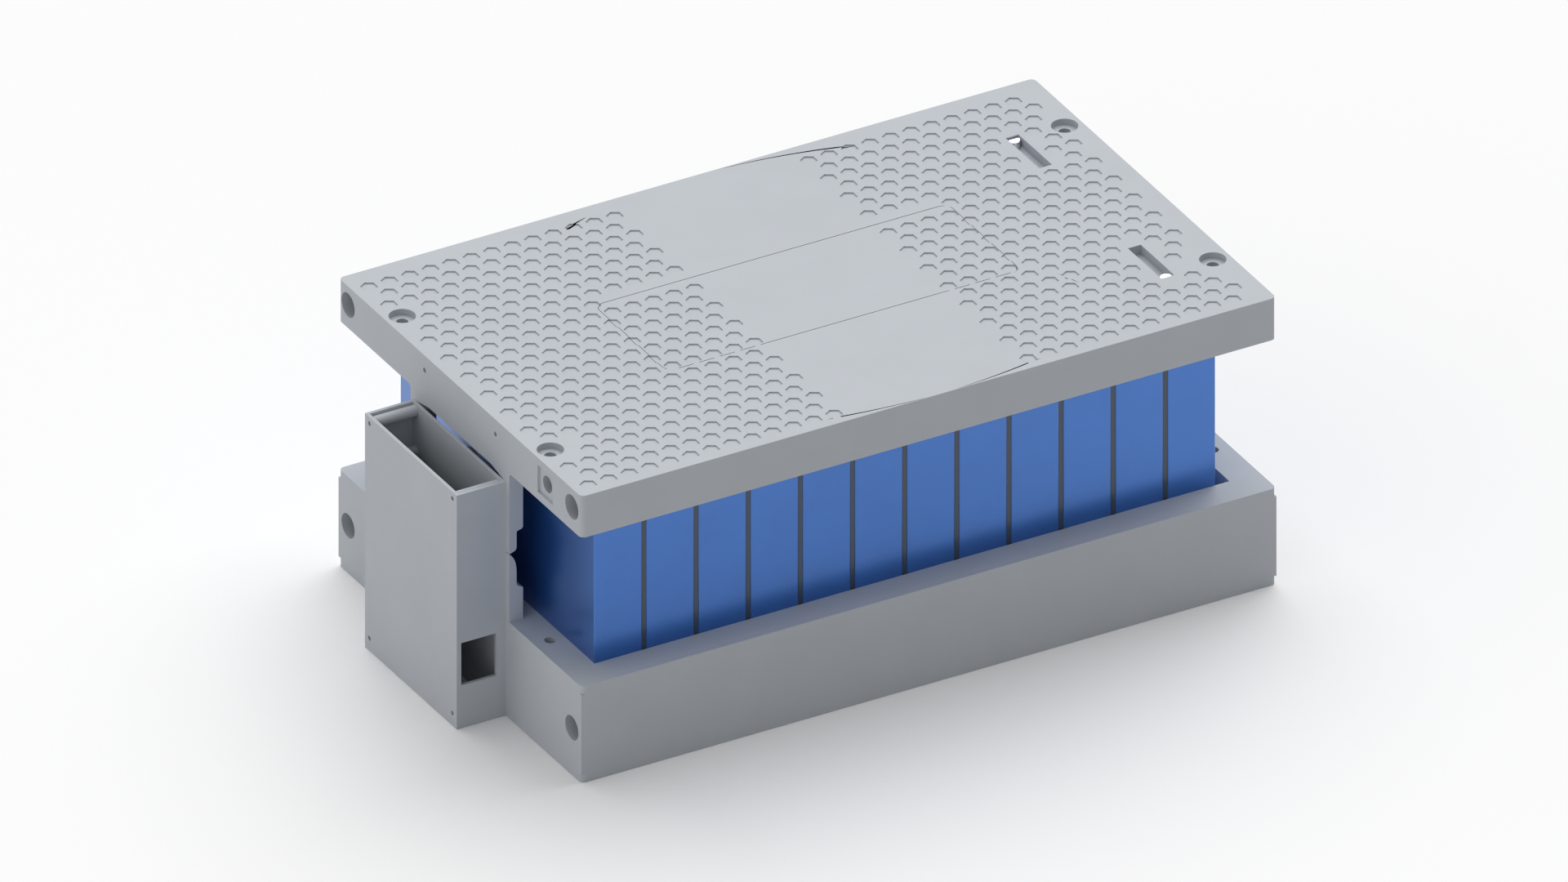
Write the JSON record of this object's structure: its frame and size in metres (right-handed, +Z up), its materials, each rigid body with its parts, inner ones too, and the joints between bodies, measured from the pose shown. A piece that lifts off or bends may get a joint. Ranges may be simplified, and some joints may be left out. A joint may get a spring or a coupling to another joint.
{
  "type": "lithium iron phosphate battery pack",
  "caption": "Lithium iron phosphate battery pack: blue prismatic cells between a grey printed tray and a cover with hexagonal pockets, with an open circuit box at its left end",
  "frame": {"origin": "middle of the tray's underside, on the ground", "axes": "+X along the pack, away from the circuit box; +Y from the front row to the back row; +Z up"},
  "size_m": [0.5653, 0.327, 0.2202],
  "materials": {
    "printed_shell": "matt light grey printed plastic",
    "printed_panel": "matt light grey printed plastic",
    "cell_wrap": "blue heat-shrunk film, slightly glossy",
    "spacer_board": "dark grey insulating board, matt",
    "busbar_metal": "rolled strip, dull",
    "screw_steel": "zinc plated steel",
    "stud_steel": "bright turned steel",
    "board_green": "green solder mask",
    "sink_aluminium": "anodised dark grey"
  },
  "bodies": {
    "root": {"tray": "printed_shell", "cover": "printed_shell", "access_panel": "printed_panel", "circuit_box": "printed_shell", "circuit_board": "board_green", "heat_sink": "sink_aluminium", "board_screws": "screw_steel", "busbars": "busbar_metal", "terminal_nuts": "screw_steel", "row_divider": "spacer_board", "output_stud_front": "stud_steel", "output_stud_back": "stud_steel", "cell_01": "cell_wrap", "cell_02": "cell_wrap", "cell_03": "cell_wrap", "cell_04": "cell_wrap", "cell_05": "cell_wrap", "cell_06": "cell_wrap", "cell_07": "cell_wrap", "cell_08": "cell_wrap", "cell_09": "cell_wrap", "cell_10": "cell_wrap", "cell_11": "cell_wrap", "cell_12": "cell_wrap", "cell_13": "cell_wrap", "cell_14": "cell_wrap", "cell_15": "cell_wrap", "cell_16": "cell_wrap", "cell_17": "cell_wrap", "cell_18": "cell_wrap", "cell_19": "cell_wrap", "cell_20": "cell_wrap", "cell_21": "cell_wrap", "cell_22": "cell_wrap", "cell_23": "cell_wrap", "cell_24": "cell_wrap", "spacer_01": "spacer_board", "spacer_02": "spacer_board", "spacer_03": "spacer_board", "spacer_04": "spacer_board", "spacer_05": "spacer_board", "spacer_06": "spacer_board", "spacer_07": "spacer_board", "spacer_08": "spacer_board", "spacer_09": "spacer_board", "spacer_10": "spacer_board", "spacer_11": "spacer_board", "spacer_12": "spacer_board", "spacer_13": "spacer_board", "spacer_14": "spacer_board", "spacer_15": "spacer_board", "spacer_16": "spacer_board", "spacer_17": "spacer_board", "spacer_18": "spacer_board", "spacer_19": "spacer_board", "spacer_20": "spacer_board", "spacer_21": "spacer_board", "spacer_22": "spacer_board"}
  },
  "joints": []
}
